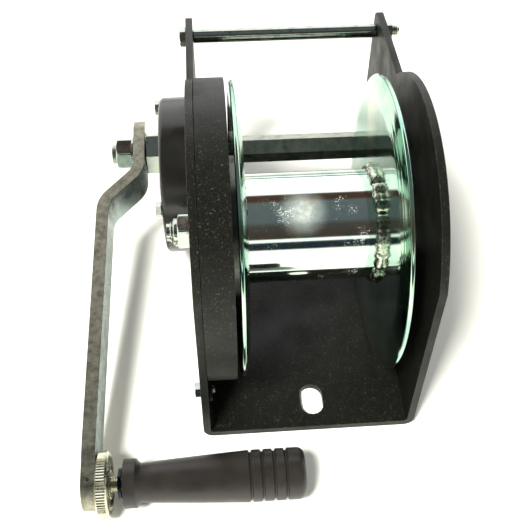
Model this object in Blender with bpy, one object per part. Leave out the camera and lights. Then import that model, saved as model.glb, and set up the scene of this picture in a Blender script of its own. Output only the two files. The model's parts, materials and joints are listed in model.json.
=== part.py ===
"""Boat trailer hand winch: folded frame, geared rope drum, braked drive shaft and crank.

Metres, +Z up.  X runs along the drum axle (the crank is on the -X side), Y runs to the rear.
The origin is on the underside of the base, straight below the drum axle and midway
between the side plates.
"""
import math

import bmesh
import bpy
from mathutils import Matrix, Vector

# ---------------------------------------------------------------- driving dimensions
GAP = 0.0003                  # air left between two pieces that touch
CLEARANCE = 0.0003            # bore over shaft, on the radius
TRIM = 0.001                  # extra length that is cut off again

FRAME_WIDTH = 0.119           # over both side plates
SHEET = 0.004                 # frame sheet
BEND_RADIUS = 0.006           # outer radius of the two folds
NOSE_INSIDE_COVER = 0.0005    # plate's round nose, smaller than the gear cover
FRONT_BEHIND_NOSE = 0.0045    # straight front edge behind the foremost point of the nose
COVER_OVER_BASE = 0.0015      # least air under the gear cover
LEAST_AXLE_HEIGHT = 0.087     # room for the cover's screws over the base
PLATE_REAR = 0.125            # rear edge, Y
PLATE_TAIL_HEIGHT = 0.058     # flat top edge above the drum axle
PLATE_CORNER = 0.006          # rounded rear top corner
SLOT_WIDTH = 0.013
SLOT_LENGTH = 0.020
SLOT_X = 0.003
SLOT_BEHIND_FRONT = 0.018     # centre of the slot behind the front edge
REAR_HOLE_RADIUS = 0.0055
REAR_HOLE_X = 0.035
REAR_HOLE_FROM_REAR = 0.018

DRUM_TUBE_RADIUS = 0.030
DRUM_TUBE_WALL = 0.003
DRUM_LEFT = -0.0326           # inner face of the left flange
DRUM_WIDTH = 0.0716           # between the flange webs
FLANGE_TO_SHAFT = 0.00534     # air between the flange rim and the shaft's corners
FLANGE_SHEET = 0.0025
FLANGE_RIM = 0.0115           # width of the flared rim
FLANGE_FLARE = 0.0020         # how far the rim stands outwards

MODULE = 0.003                # gear tooth size
GEAR_TEETH = 50
PINION_TEETH = 13
PRESSURE_ANGLE = math.radians(20)
BACKLASH = 0.0007
GEAR_FACE = 0.008
FLANGE_SHAPE = ((0.35, 0.30), (0.8, 0.62), (1, 0.86), (1.15, 1))  # flare, part of the rim
GEAR_AIR = 0.0027             # between the flared rim and the gear
FLANGE_ROLL = 0.0006          # rounding of the rim's outer side
SHAFT_DROP = 0.0203           # drive shaft below the drum axle

GEAR_TIP_ROOM = 0.0026        # inside the gear cover
GEAR_COVER_SHEET = 0.0015
LOBE_FLOOR = 0.0016           # floor under the pinion, off the plane of the cover's own
GEAR_COVER_LIP = 0.0003       # cover's edge past the gear's inner face
COVER_EAR = 0.0065            # radius of a screw ear
COVER_EAR_SHEET = 0.0017
EAR_OUTSIDE_COVER = 0.006     # screw centre outside the round cover
FRONT_EAR_ANGLE = math.radians(224.5)
REAR_EAR_TO_BRAKE = 0.0095    # rear screw's centre outside the brake cover
SHAFT_BUSH_ROOM = 0.002       # cover's hole round the shaft bush
PINION_TIP_ROOM = 0.0015
GEAR_ADDENDUM = 0.8           # in modules, shortened for the small pinion

AXLE_RADIUS = 0.006           # M12 axle bolt
SLEEVE_WALL = 0.0037
BUSH_WALL = 0.003
BUSH_HEAD = 0.002
BUSH_HEAD_RIM = 0.003
SPACER_WALL = 0.0042
GEAR_SPACER_RADIUS = 0.040
AXLE_NUT = 0.009
AXLE_WASHER = 0.0015
AXLE_HEAD = 0.0075
AXLE_PROUD = 0.0035           # bolt end beyond its nut
WASHER_RATIO = 2.0            # washer radius over thread radius
FLATS_RATIO = 3.0             # across flats over thread radius
CRANK_WASHER_RIM = 0.0045     # washer beyond the stub, on the radius
CRANK_WASHER = 0.0012
CRANK_NUT = 0.0094
STUB_PROUD = 0.0028           # crank stub beyond its nut
BUSH_FLANGE = 0.001
BUSH_FLANGE_RIM = 0.003
CIRCLIP = 0.0012
CIRCLIP_WALL = 0.0022
SHAFT_SHOULDER_GAP = 0.0006   # hexagon short of the side plates
JOURNAL_PROUD = 0.0045        # journal beyond the right plate
PINION_PROUD = 0.001          # pinion wider than the gear on its outer side
PINION_INSET = 0.0004         # pinion short of the gear on its inner side

HEX_FLATS = 0.015             # drive shaft between the plates
HEX_TURN = math.radians(42)
JOURNAL_RADIUS = 0.007
STUB_STEP = 0.001             # crank stub smaller than the journal, on the radius
SHAFT_BUSH_WALL = 0.0027

BRAKE_DISC_RADIUS = 0.019
PRESSURE_PLATE = 0.0022
FRICTION_DISC = 0.0015
RATCHET_THICKNESS = 0.004
RATCHET_RADIUS = 0.0215
RATCHET_ROOT = 0.0175
RATCHET_TEETH = 12
RATCHET_LAND = math.radians(3)       # tip of a tooth
RATCHET_GULLET = (math.radians(6), math.radians(8))
HUB_FLANGE = 0.0022
HUB_FLATS = 0.024
HUB_TURN = math.radians(30)
HUB_ROOM = 0.0008             # cover's hole outside the hub's corners
BRAKE_COVER_RADIUS = 0.0476
BRAKE_COVER_DEPTH = 0.0183
BRAKE_COVER_WALL = 0.002
BRAKE_COVER_EDGE = 0.003      # rounding of the face's edge
BRAKE_COVER_EYE = 0.010       # radius turned open before the hub's hole is cut
BRAKE_COVER_FORWARD = 0.0224  # cover centre ahead of the drive shaft
COVER_SCREW_CIRCLE = 0.042
COVER_SCREW_START = math.radians(46)
COVER_BOSS_RADIUS = 0.0045
PAWL_REACH = 0.040            # pawl pivot from the drive shaft
PAWL_DIRECTION = math.radians(160)
PAWL_BOSS_RADIUS = 0.007
PAWL_TIP = 0.006
PAWL_CLEARANCE = 0.0006       # lifted pawl over the ratchet's tips
PAWL_PIN_RADIUS = 0.004
PAWL_PIN_PROUD = 0.0025
PAWL_SPACER_RADIUS = 0.0055
PAWL_CLIP = 0.001
PAWL_CLIP_RADIUS = 0.0065
SPRING_WIRE = 0.0005          # radius
SPRING_TURNS = 3
SPRING_LEG = 0.008
SPRING_POINTS = 14            # to a turn

HUB_LENGTH = 0.0111           # hub outside the brake cover
CRANK_RADIUS = 0.210
CRANK_WIDTH = 0.025
CRANK_BAR = 0.0072
CRANK_TOP = 0.0094            # round end's centre beyond the shaft
CRANK_JOGGLE = 0.0212         # sideways step of the double bend
JOGGLE_START = 0.0195
JOGGLE_RUN = 0.022
JOGGLE_BEND = 0.012           # inside radius of the two bends
CRANK_LEAN = 0.0035           # further outwards along the lower part
LEAN_END = 0.020              # straight again this far before the spindle
CRANK_FLOOR_GAP = 0.0008      # knurled nut above the plane of the base
GRIP_RADIUS = 0.0132
GRIP_LENGTH = 0.0936
GRIP_COLLAR_RADIUS = 0.0125
GRIP_COLLAR = 0.0063
GRIP_NECK_RADIUS = 0.0099
GRIP_EDGE = 0.001
GRIP_END_RADIUS = 0.0045
GRIP_CAP_RADIUS = 0.0085
GRIP_CAP_DEPTH = 0.006
GRIP_CAP_INSET = 0.0006
GROOVES = 4
GROOVE_PITCH = 0.0061
GROOVE_DEPTH = 0.0012
GROOVE_BOTTOM = 0.001
GROOVE_TOP = 0.0024
LAST_GROOVE = 0.0103          # from the grip's free end
SPINDLE_RADIUS = 0.004
SPINDLE_SHORT = 0.012         # spindle's end inside the grip's free end
RIVET_HEAD = 0.0015           # peened end of the spindle outside the crank bar
RIVET_RADIUS = 0.0065
RIVET_CHAMFER = 0.0008
KNURL_RADIUS = 0.01725
KNURL_THICKNESS = 0.006
KNURL_RIM = 0.003
KNURL_RECESS = 0.0015
RECESS_TAPER = 0.0006
SPINDLE_WASHER_RADIUS = 0.0075
SPINDLE_WASHER_PROUD = 0.0006
SPINDLE_THREAD = 0.0045       # bare thread between the nut and the clip
SPINDLE_CLIP = 0.0018
GRIP_PLAY = 0.0009            # between the clip and the grip
SPINDLE_CLIP_RADIUS = 0.008

TIE_SLEEVE_RADIUS = 0.004
TIE_BOLT_RADIUS = 0.003
TIE_FLATS = 0.010
TIE_HEAD = 0.004
TIE_NUT = 0.005
TIE_PROUD = 0.0095            # bolt end beyond the right plate
TIE_FROM_REAR = 0.0085
TIE_FROM_TOP = 0.010
M5_RADIUS = 0.0025
M5_FLATS = 0.008
M5_HEAD = 0.0035
M5_INSIDE = 0.0035            # gear cover screw's end inside the plate

# ---------------------------------------------------------------- derived sizes and places
HALF_WIDTH = FRAME_WIDTH / 2
INSIDE = HALF_WIDTH - SHEET                       # inner face of a side plate
GEAR_TIP = MODULE * (GEAR_TEETH / 2 + GEAR_ADDENDUM)
PINION_TIP = MODULE * (PINION_TEETH / 2 + 1)
CENTRE_DISTANCE = MODULE * (GEAR_TEETH + PINION_TEETH) / 2
GEAR_COVER_RADIUS = GEAR_TIP + GEAR_TIP_ROOM + GEAR_COVER_SHEET
PINION_LOBE_RADIUS = PINION_TIP + PINION_TIP_ROOM + GEAR_COVER_SHEET
PLATE_NOSE_RADIUS = GEAR_COVER_RADIUS - NOSE_INSIDE_COVER
PLATE_FRONT = FRONT_BEHIND_NOSE - PLATE_NOSE_RADIUS
AXLE_HEIGHT = max(LEAST_AXLE_HEIGHT, SHEET + COVER_OVER_BASE + GEAR_COVER_RADIUS)
AXLE = Vector((0, AXLE_HEIGHT))                   # (Y, Z)
FLANGE_RADIUS = CENTRE_DISTANCE - HEX_FLATS / math.sqrt(3) - FLANGE_TO_SHAFT
FLANGE_FLAT_RADIUS = FLANGE_RADIUS - FLANGE_RIM   # where the rim starts to flare
GEAR_OFFSET = FLANGE_SHAPE[-1][0] * FLANGE_FLARE + GEAR_AIR  # gear behind the flange sheet
SLEEVE_BORE = AXLE_RADIUS + CLEARANCE
SLEEVE_RADIUS = SLEEVE_BORE + SLEEVE_WALL
AXLE_FLATS = FLATS_RATIO * AXLE_RADIUS
STUB_RADIUS = JOURNAL_RADIUS - STUB_STEP
CRANK_NUT_FLATS = FLATS_RATIO * STUB_RADIUS
CRANK_WASHER_RADIUS = STUB_RADIUS + CRANK_WASHER_RIM
SHAFT_BUSH_RADIUS = JOURNAL_RADIUS + CLEARANCE + SHAFT_BUSH_WALL
BUSH_FLANGE_RADIUS = SHAFT_BUSH_RADIUS + BUSH_FLANGE_RIM
SHAFT = AXLE + Vector((math.sqrt(CENTRE_DISTANCE ** 2 - SHAFT_DROP ** 2), -SHAFT_DROP))
MESH_ANGLE = math.atan2(SHAFT.y - AXLE.y, SHAFT.x - AXLE.x)
TIE = Vector((PLATE_REAR - TIE_FROM_REAR, AXLE_HEIGHT + PLATE_TAIL_HEIGHT - TIE_FROM_TOP))
DRUM_RIGHT = DRUM_LEFT + DRUM_WIDTH
GEAR_RIGHT = DRUM_LEFT - FLANGE_SHEET - GEAR_OFFSET
GEAR_LEFT = GEAR_RIGHT - GEAR_FACE
GEAR_COVER_FRONT = GEAR_RIGHT + GEAR_COVER_LIP
BUSH_RADIUS = SLEEVE_RADIUS + BUSH_WALL
BUSH_HEAD_RADIUS = BUSH_RADIUS + BUSH_HEAD_RIM
SPACER_RADIUS = SLEEVE_RADIUS + CLEARANCE + SPACER_WALL
CIRCLIP_RADIUS = JOURNAL_RADIUS + CLEARANCE + CIRCLIP_WALL
COVER_CENTRE = SHAFT + Vector((-BRAKE_COVER_FORWARD, 0))
COVER_FACE = -HALF_WIDTH - BRAKE_COVER_DEPTH
SPINDLE_Z = KNURL_RADIUS + CRANK_FLOOR_GAP
CRANK_DROOP = math.asin((SHAFT.y - SPINDLE_Z) / CRANK_RADIUS)
SPINDLE = SHAFT + CRANK_RADIUS * Vector((-math.cos(CRANK_DROOP), -math.sin(CRANK_DROOP)))
ARM_RIGHT = COVER_FACE - HUB_LENGTH - GAP         # crank bar's face toward the frame, at the shaft
ARM_LEFT = ARM_RIGHT - CRANK_BAR
SPINDLE_FACE = ARM_RIGHT - CRANK_JOGGLE - CRANK_LEAN  # same face at the grip spindle
PAWL_PIVOT = SHAFT + PAWL_REACH * Vector((math.cos(PAWL_DIRECTION), math.sin(PAWL_DIRECTION)))


# ---------------------------------------------------------------- small tools
def clear_scene():
    for obj in list(bpy.data.objects):
        bpy.data.objects.remove(obj, do_unlink=True)


def finish(name, colour, roughness, metallic):
    """A plain Principled finish."""
    mat = bpy.data.materials.new(name)
    mat.use_nodes = True
    shader = mat.node_tree.nodes["Principled BSDF"]
    shader.inputs["Base Color"].default_value = (*colour, 1)
    shader.inputs["Roughness"].default_value = roughness
    shader.inputs["Metallic"].default_value = metallic
    return mat


def add_object(name, bm, mat, smooth=True):
    """Close a bmesh into a named object with its normals out."""
    bmesh.ops.remove_doubles(bm, verts=bm.verts, dist=1e-6)
    bmesh.ops.recalc_face_normals(bm, faces=bm.faces)
    mesh = bpy.data.meshes.new(name)
    bm.to_mesh(mesh)
    bm.free()
    if smooth:
        mesh.shade_smooth()
        mesh.set_sharp_from_angle(angle=math.radians(35))
    if mat:
        mesh.materials.append(mat)
    obj = bpy.data.objects.new(name, mesh)
    bpy.context.scene.collection.objects.link(obj)
    return obj


def combine(obj, tool, operation="DIFFERENCE"):
    """Cut a piece with a tool, or join the tool to it; the tool is not a piece itself."""
    mod = obj.modifiers.new(tool.name, "BOOLEAN")
    mod.operation = operation
    mod.object = tool
    tool.hide_render = True
    tool.display_type = "WIRE"
    return obj


def turned(name, profile, mat, centre=AXLE, steps=24):
    """Turn a closed (X, radius) profile about an axle along X."""
    bm = bmesh.new()
    verts = [bm.verts.new((x, centre[0] + r, centre[1])) for x, r in profile]
    edges = [bm.edges.new(pair) for pair in zip(verts, verts[1:] + verts[:1])]
    axis_point = (0, centre[0], centre[1])
    bmesh.ops.spin(bm, geom=verts + edges, cent=axis_point, axis=(1, 0, 0),
                   angle=math.tau, steps=steps, use_merge=True)
    return add_object(name, bm, mat)


def rod(name, x0, x1, radius, mat=None, centre=AXLE, steps=16, chamfer=0.0):
    """A solid round bar along X, both ends flat, with an optional chamfer at the -X end."""
    x0, x1 = min(x0, x1), max(x0, x1)
    bm = bmesh.new()
    bmesh.ops.create_cone(bm, cap_ends=True, segments=steps, radius1=radius, radius2=radius,
                          depth=x1 - x0)
    if chamfer:
        rim = [e for e in bm.edges if all(v.co.z < 0 for v in e.verts)]
        bmesh.ops.bevel(bm, geom=rim, offset=chamfer, segments=1, affect="EDGES", profile=0.5,
                        material=-1)
    turn = Matrix.Rotation(math.pi / 2, 4, "Y")
    place = Matrix.Translation(((x0 + x1) / 2, centre[0], centre[1]))
    bmesh.ops.transform(bm, matrix=place @ turn, verts=bm.verts)
    return add_object(name, bm, mat)


def ring(name, x0, x1, outer, inner, mat=None, centre=AXLE, steps=20):
    x0, x1 = min(x0, x1), max(x0, x1)
    return turned(name, [(x0, inner), (x0, outer), (x1, outer), (x1, inner)], mat, centre, steps)


def prism(name, outline, x0, x1, mat=None, smooth=False):
    """Extrude a closed (Y, Z) outline along X."""
    bm = bmesh.new()
    face = bm.faces.new([bm.verts.new((x0, y, z)) for y, z in outline])
    side = bmesh.ops.extrude_face_region(bm, geom=[face])["geom"]
    moved = [v for v in side if isinstance(v, bmesh.types.BMVert)]
    bmesh.ops.translate(bm, vec=(x1 - x0, 0, 0), verts=moved)
    return add_object(name, bm, mat, smooth)


def arc(centre, radius, start, end, count):
    """Points of an arc, both ends included, angles in radians from +Y towards +Z."""
    step = (end - start) / count
    return [(centre[0] + radius * math.cos(start + step * i),
             centre[1] + radius * math.sin(start + step * i)) for i in range(count + 1)]


def hexagon(flats, centre, turn=0.0):
    return arc(centre, flats / math.sqrt(3), turn, turn + math.tau * 5 / 6, 5)


def nut(name, x0, x1, flats, bore, mat, centre=AXLE, turn=0.0):
    body = prism(name, hexagon(flats, centre, turn), x0, x1, mat)
    if bore:
        combine(body, rod(name + "_bore", min(x0, x1) - 0.001, max(x0, x1) + 0.001, bore,
                          centre=centre))
    return body


def bolt(name, head_x, head_out, tip_x, radius, flats, mat, centre=AXLE, turn=0.0):
    """Hexagon head from head_x to head_out and a shank that ends at tip_x."""
    body = prism(name, hexagon(flats, centre, turn), head_out, head_x, mat)
    shank = rod(name + "_shank", head_x + (head_out - head_x) / 2, tip_x, radius, centre=centre)
    return combine(body, shank, "UNION")


def involute(angle):
    return math.tan(angle) - angle


def gear_outline(teeth, tip_radius, centre, first_tooth):
    """Involute spur gear: root, flank and tip points for every tooth."""
    pitch_radius = MODULE * teeth / 2
    base_radius = pitch_radius * math.cos(PRESSURE_ANGLE)
    root_radius = pitch_radius - 1.25 * MODULE
    half_tooth = (math.pi * MODULE / 2 - BACKLASH / 2) / (2 * pitch_radius)
    radii = [root_radius, max(root_radius, base_radius) + 0.0002, pitch_radius, tip_radius]

    def half_angle(radius):
        roll = math.acos(min(1.0, base_radius / max(radius, base_radius)))
        return half_tooth + involute(PRESSURE_ANGLE) - involute(roll)

    points = []
    for tooth in range(teeth):
        middle = first_tooth + math.tau * tooth / teeth
        rising = [(r, middle - half_angle(r)) for r in radii]
        falling = [(r, middle + half_angle(r)) for r in reversed(radii)]
        points += [(centre[0] + r * math.cos(a), centre[1] + r * math.sin(a))
                   for r, a in rising + falling]
    return points


# ---------------------------------------------------------------- frame and covers
def side_outline():
    """Side view of the folded frame, (Y, Z), from the rear underside round to the front."""
    top = AXLE_HEIGHT + PLATE_TAIL_HEIGHT
    nose_low = math.pi + math.asin(math.sqrt(PLATE_NOSE_RADIUS ** 2 - PLATE_FRONT ** 2)
                                   / PLATE_NOSE_RADIUS)
    nose_top = math.asin(PLATE_TAIL_HEIGHT / PLATE_NOSE_RADIUS)
    corner = (PLATE_REAR - PLATE_CORNER, top - PLATE_CORNER)
    return ([(PLATE_FRONT, 0), (PLATE_REAR, 0)]
            + arc(corner, PLATE_CORNER, 0, math.pi / 2, 4)
            + arc(AXLE, PLATE_NOSE_RADIUS, nose_top, nose_low, 30))


def folded_section():
    """The U of the folded sheet, (X, Z), as one closed outline."""
    height = AXLE_HEIGHT + PLATE_NOSE_RADIUS + 0.01
    outer, inner = BEND_RADIUS, BEND_RADIUS - SHEET
    centre = (HALF_WIDTH - BEND_RADIUS, BEND_RADIUS)
    right_out = arc(centre, outer, -math.pi / 2, 0, 5) + [(HALF_WIDTH, height)]
    right_in = [(INSIDE, height)] + arc(centre, inner, 0, -math.pi / 2, 5)
    left_in = [(-x, z) for x, z in reversed(right_in)]
    left_out = [(-x, z) for x, z in reversed(right_out)]
    return right_out + right_in + left_in + left_out


def make_frame(paint):
    bm = bmesh.new()
    face = bm.faces.new([bm.verts.new((x, PLATE_FRONT, z)) for x, z in folded_section()])
    side = bmesh.ops.extrude_face_region(bm, geom=[face])["geom"]
    moved = [v for v in side if isinstance(v, bmesh.types.BMVert)]
    bmesh.ops.translate(bm, vec=(0, PLATE_REAR - PLATE_FRONT, 0), verts=moved)
    frame = add_object("frame", bm, paint)
    reach = HALF_WIDTH + 0.01
    combine(frame, prism("frame_side_view", side_outline(), -reach, reach), "INTERSECT")

    def hole(name, centre, radius, x0=-reach, x1=reach):
        combine(frame, rod(name, x0, x1, radius, centre=centre))

    hole("axle_holes", AXLE, AXLE_RADIUS + CLEARANCE)
    hole("shaft_holes", SHAFT, SHAFT_BUSH_RADIUS + CLEARANCE)
    hole("tie_holes", TIE, TIE_BOLT_RADIUS + CLEARANCE)
    hole("pawl_pin_hole", PAWL_PIVOT, PAWL_PIN_RADIUS + CLEARANCE, x1=0)
    for i, place in enumerate(gear_cover_screws()):
        hole(f"gear_cover_hole_{i}", place, M5_RADIUS + CLEARANCE, x1=0)
    for i, place in enumerate(brake_cover_screws()):
        hole(f"brake_cover_hole_{i}", place, M5_RADIUS + CLEARANCE, x1=0)

    slot = bmesh.new()
    slot_y = PLATE_FRONT + SLOT_BEHIND_FRONT
    run = (SLOT_LENGTH - SLOT_WIDTH) / 2
    outline = (arc((SLOT_X, slot_y + run), SLOT_WIDTH / 2, 0, math.pi, 8)
               + arc((SLOT_X, slot_y - run), SLOT_WIDTH / 2, math.pi, math.tau, 8))
    bottom = slot.faces.new([slot.verts.new((x, y, -0.01)) for x, y in outline])
    top = bmesh.ops.extrude_face_region(slot, geom=[bottom])["geom"]
    bmesh.ops.translate(slot, vec=(0, 0, 0.02),
                        verts=[v for v in top if isinstance(v, bmesh.types.BMVert)])
    combine(frame, add_object("base_slot", slot, None))
    for i, x in enumerate((-REAR_HOLE_X, REAR_HOLE_X)):
        drill = bmesh.new()
        bmesh.ops.create_cone(drill, cap_ends=True, segments=24, radius1=REAR_HOLE_RADIUS,
                              radius2=REAR_HOLE_RADIUS, depth=0.02,
                              matrix=Matrix.Translation((x, PLATE_REAR - REAR_HOLE_FROM_REAR, 0)))
        combine(frame, add_object(f"rear_base_hole_{i}", drill, None))


def gear_cover_screws():
    """Two screws just outside the round cover, low at the front and low at the rear.

    The rear one keeps a set distance from the edge of the brake cover.
    """
    reach = GEAR_COVER_RADIUS + EAR_OUTSIDE_COVER
    way = COVER_CENTRE - AXLE
    away = BRAKE_COVER_RADIUS + REAR_EAR_TO_BRAKE
    between = math.acos((reach ** 2 + way.length_squared - away ** 2) / (2 * reach * way.length))
    angles = (FRONT_EAR_ANGLE, math.atan2(way.y, way.x) - between)
    return [AXLE + reach * Vector((math.cos(a), math.sin(a))) for a in angles]


def brake_cover_screws():
    return [COVER_CENTRE + COVER_SCREW_CIRCLE
            * Vector((math.cos(COVER_SCREW_START + math.tau * i / 3),
                      math.sin(COVER_SCREW_START + math.tau * i / 3))) for i in range(3)]


def make_gear_cover(paint):
    """Round pressed cover with a lobe for the pinion, open towards the drum.

    Its parts start at different depths behind the plate's face and are trimmed to it
    together, so that no two of them share a plane.
    """
    back = -INSIDE + GAP
    front = GEAR_COVER_FRONT
    wall = GEAR_COVER_SHEET
    reach = GEAR_COVER_RADIUS + PINION_LOBE_RADIUS + CENTRE_DISTANCE
    cover = rod("gear_cover", back - TRIM, front, GEAR_COVER_RADIUS, paint, steps=96)
    lobe = rod("gear_cover_lobe", back - 2 * TRIM, front + TRIM, PINION_LOBE_RADIUS,
               centre=SHAFT, steps=24)
    combine(cover, lobe, "UNION")
    for i, place in enumerate(gear_cover_screws()):
        ear = rod(f"gear_cover_ear_{i}", back - 3 * TRIM, back + COVER_EAR_SHEET, COVER_EAR,
                  centre=place)
        combine(cover, ear, "UNION")
    square = [(side * reach, up * reach) for side, up in ((-1, -1), (1, -1), (1, 1), (-1, 1))]
    combine(cover, prism("gear_cover_back_trim", square, back - 4 * TRIM, back))
    combine(cover, prism("gear_cover_front_trim", square, front, front + 2 * TRIM))
    combine(cover, rod("gear_cover_room", back + wall, front + 3 * TRIM,
                       GEAR_COVER_RADIUS - wall, steps=96))
    combine(cover, rod("pinion_room", back + LOBE_FLOOR, front + 4 * TRIM,
                       PINION_LOBE_RADIUS - wall, centre=SHAFT, steps=24))
    combine(cover, rod("gear_cover_axle_hole", back - TRIM, front, SLEEVE_RADIUS + CLEARANCE))
    combine(cover, rod("gear_cover_shaft_hole", back - TRIM, front,
                       SHAFT_BUSH_RADIUS + SHAFT_BUSH_ROOM, centre=SHAFT))
    for i, place in enumerate(gear_cover_screws()):
        combine(cover, rod(f"gear_cover_ear_hole_{i}", back - TRIM, front,
                           M5_RADIUS + CLEARANCE, centre=place))


def make_brake_cover(plastic):
    """Moulded cup over the brake and ratchet, with three screw bosses."""
    rim = -HALF_WIDTH - GAP
    wall, edge = BRAKE_COVER_WALL, BRAKE_COVER_EDGE
    radius = BRAKE_COVER_RADIUS
    outside = arc((COVER_FACE + edge, radius - edge), edge, math.pi / 2, math.pi, 4)
    inner = radius - wall
    profile = ([(rim, radius)] + outside
               + [(COVER_FACE, BRAKE_COVER_EYE), (COVER_FACE + wall, BRAKE_COVER_EYE)]
               + arc((COVER_FACE + edge, inner - edge + wall), edge - wall, math.pi, math.pi / 2, 3)
               + [(rim, inner)])
    cover = turned("brake_cover", profile, plastic, COVER_CENTRE, 64)
    combine(cover, rod("brake_cover_web", COVER_FACE, COVER_FACE + wall, BRAKE_COVER_EYE + wall,
                       centre=COVER_CENTRE), "UNION")
    for i, place in enumerate(brake_cover_screws()):
        combine(cover, rod(f"brake_cover_boss_{i}", COVER_FACE + wall / 2, rim,
                           COVER_BOSS_RADIUS, centre=place, steps=16), "UNION")
    combine(cover, rod("hub_hole", COVER_FACE - 0.01, COVER_FACE + wall + 0.001,
                       HUB_FLATS / math.sqrt(3) + HUB_ROOM, centre=SHAFT, steps=40))
    for i, place in enumerate(brake_cover_screws()):
        combine(cover, rod(f"brake_cover_screw_hole_{i}", COVER_FACE - 0.01, rim + 0.01,
                           M5_RADIUS + CLEARANCE, centre=place, steps=16))


def make_cover_screws(zinc):
    for name, place in zip(("front", "rear"), gear_cover_screws()):
        head = -HALF_WIDTH - GAP
        bolt(f"gear_cover_screw_{name}", head, head - M5_HEAD, -INSIDE + M5_INSIDE, M5_RADIUS,
             M5_FLATS, zinc, place)
    for i, place in enumerate(brake_cover_screws()):
        head = COVER_FACE - GAP
        bolt(f"brake_cover_screw_{i + 1}", head, head - M5_HEAD, -INSIDE - GAP, M5_RADIUS,
             M5_FLATS, zinc, place)


def make_tie_rod(zinc):
    """Spacer sleeve with a bolt through it, holding the rear corners apart."""
    ring("tie_sleeve", -INSIDE + GAP, INSIDE - GAP, TIE_SLEEVE_RADIUS,
         TIE_BOLT_RADIUS + CLEARANCE, zinc, TIE, 20)
    face = HALF_WIDTH + GAP
    bolt("tie_bolt", -face, -face - TIE_HEAD, face + TIE_PROUD, TIE_BOLT_RADIUS, TIE_FLATS, zinc,
         TIE)
    nut("tie_nut", face, face + TIE_NUT, TIE_FLATS, TIE_BOLT_RADIUS + CLEARANCE, zinc, TIE)


# ---------------------------------------------------------------- axle and drum
def make_axle(zinc, nylon):
    face = HALF_WIDTH + GAP
    nut_start = -face - AXLE_WASHER - GAP
    bore = AXLE_RADIUS + CLEARANCE
    washer = WASHER_RATIO * AXLE_RADIUS
    ring("axle_washer_left", -face, -face - AXLE_WASHER, washer, bore, zinc)
    ring("axle_washer_right", face, face + AXLE_WASHER, washer, bore, zinc)
    nut("axle_nut", nut_start, nut_start - AXLE_NUT, AXLE_FLATS, bore, zinc,
        turn=math.radians(12))
    head = face + AXLE_WASHER + GAP
    bolt("axle_bolt", head, head + AXLE_HEAD, nut_start - AXLE_NUT - AXLE_PROUD, AXLE_RADIUS,
         AXLE_FLATS, zinc)
    ring("axle_sleeve", -INSIDE + GAP, INSIDE - GAP, SLEEVE_RADIUS, SLEEVE_BORE, zinc)
    bush_bore = SLEEVE_RADIUS + CLEARANCE
    left_head = GEAR_LEFT - GAP - BUSH_HEAD
    right_head = DRUM_RIGHT + FLANGE_SHEET + GAP + BUSH_HEAD
    cover_face = -INSIDE + GAP + GEAR_COVER_SHEET + GAP
    ring("drum_spacer_left", cover_face, left_head - GAP, SPACER_RADIUS, bush_bore, nylon)
    ring("drum_spacer_right", right_head + GAP, INSIDE - GAP, SPACER_RADIUS, bush_bore, nylon)


def make_drum(zinc, steel, nylon):
    bush_bore = SLEEVE_RADIUS + CLEARANCE
    flange_bore = BUSH_RADIUS + CLEARANCE
    ring("drum_tube", DRUM_LEFT + GAP, DRUM_RIGHT - GAP, DRUM_TUBE_RADIUS,
         DRUM_TUBE_RADIUS - DRUM_TUBE_WALL, zinc, steps=40)
    for name, web, out in (("left", DRUM_LEFT, -1), ("right", DRUM_RIGHT, 1)):
        turned(f"drum_flange_{name}", flange_profile(web, out, flange_bore), zinc, steps=48)
    gear = prism("drum_gear", gear_outline(GEAR_TEETH, GEAR_TIP, AXLE,
                                           MESH_ANGLE + math.pi / GEAR_TEETH),
                 GEAR_LEFT, GEAR_RIGHT, steel)
    combine(gear, rod("drum_gear_bore", GEAR_LEFT - 0.01, GEAR_RIGHT + 0.01, flange_bore))
    ring("gear_spacer", GEAR_RIGHT + GAP, DRUM_LEFT - FLANGE_SHEET - GAP,
         GEAR_SPACER_RADIUS, flange_bore, steel, steps=24)
    left_head = GEAR_LEFT - GAP
    right_head = DRUM_RIGHT + FLANGE_SHEET + GAP
    for name, head, out, end in (("left", left_head, -BUSH_HEAD, DRUM_LEFT),
                                 ("right", right_head, BUSH_HEAD, DRUM_RIGHT)):
        turned(f"drum_bush_{name}", [(head + out, bush_bore), (head + out, BUSH_HEAD_RADIUS),
                                     (head, BUSH_HEAD_RADIUS), (head, BUSH_RADIUS),
                                     (end, BUSH_RADIUS), (end, bush_bore)], nylon)


def flange_profile(web, out, bore):
    """Flat web, flared rim and a rounded edge; web is the X of the inner face."""
    near = [(0, bore), (0, FLANGE_FLAT_RADIUS)]
    near += [(a * FLANGE_FLARE, FLANGE_FLAT_RADIUS + b * FLANGE_RIM) for a, b in FLANGE_SHAPE]
    far = [(x + FLANGE_SHEET, r - (FLANGE_ROLL if r > FLANGE_FLAT_RADIUS else 0))
           for x, r in near]
    return [(web + out * x, r) for x, r in near + far[::-1]]


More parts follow.
